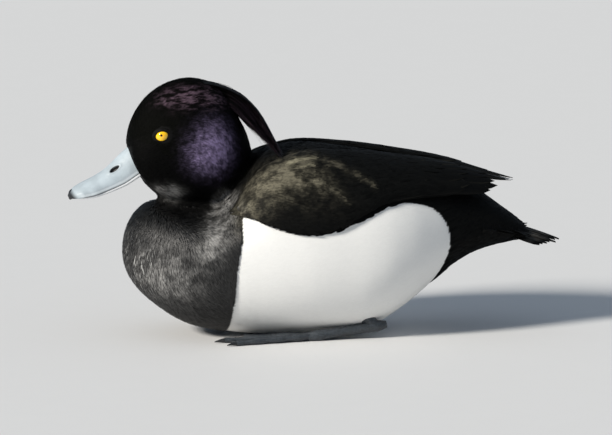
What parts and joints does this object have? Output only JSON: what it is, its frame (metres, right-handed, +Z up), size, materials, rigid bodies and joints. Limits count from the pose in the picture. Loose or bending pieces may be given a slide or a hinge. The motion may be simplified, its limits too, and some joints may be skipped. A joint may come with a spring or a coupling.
{
  "type": "tufted duck",
  "caption": "Still life-size model of a drake tufted duck at rest, with drooping crest, blue-grey bill, yellow eyes, white flanks, folded wings and webbed feet tucked under.",
  "frame": {"origin": "centre of the flat patch under the belly, on the surface the duck rests on", "axes": "+Z up; the bill points to -X and the tail to +X; the duck's left side is -Y and its right side is +Y"},
  "size_m": [0.2926, 0.1253, 0.153],
  "materials": {
    "head": "satin",
    "crest": "satin",
    "neck": "satin",
    "torso": "satin",
    "belly": "matte",
    "tail": "satin",
    "wing_left": "satin",
    "wing_right": "satin",
    "bill_upper": "satin",
    "bill_lower": "satin",
    "bill_nail": "gloss",
    "eye_left": "gloss",
    "eye_right": "gloss",
    "leg_left": "satin",
    "leg_right": "satin"
  },
  "bodies": {
    "root": {"head": "head", "crest": "crest", "neck": "neck", "torso": "torso", "belly": "belly", "tail": "tail", "wing_left": "wing_left", "wing_right": "wing_right", "bill_upper": "bill_upper", "bill_lower": "bill_lower", "bill_nail": "bill_nail", "eye_left": "eye_left", "eye_right": "eye_right", "leg_left": "leg_left", "leg_right": "leg_right"}
  },
  "joints": []
}
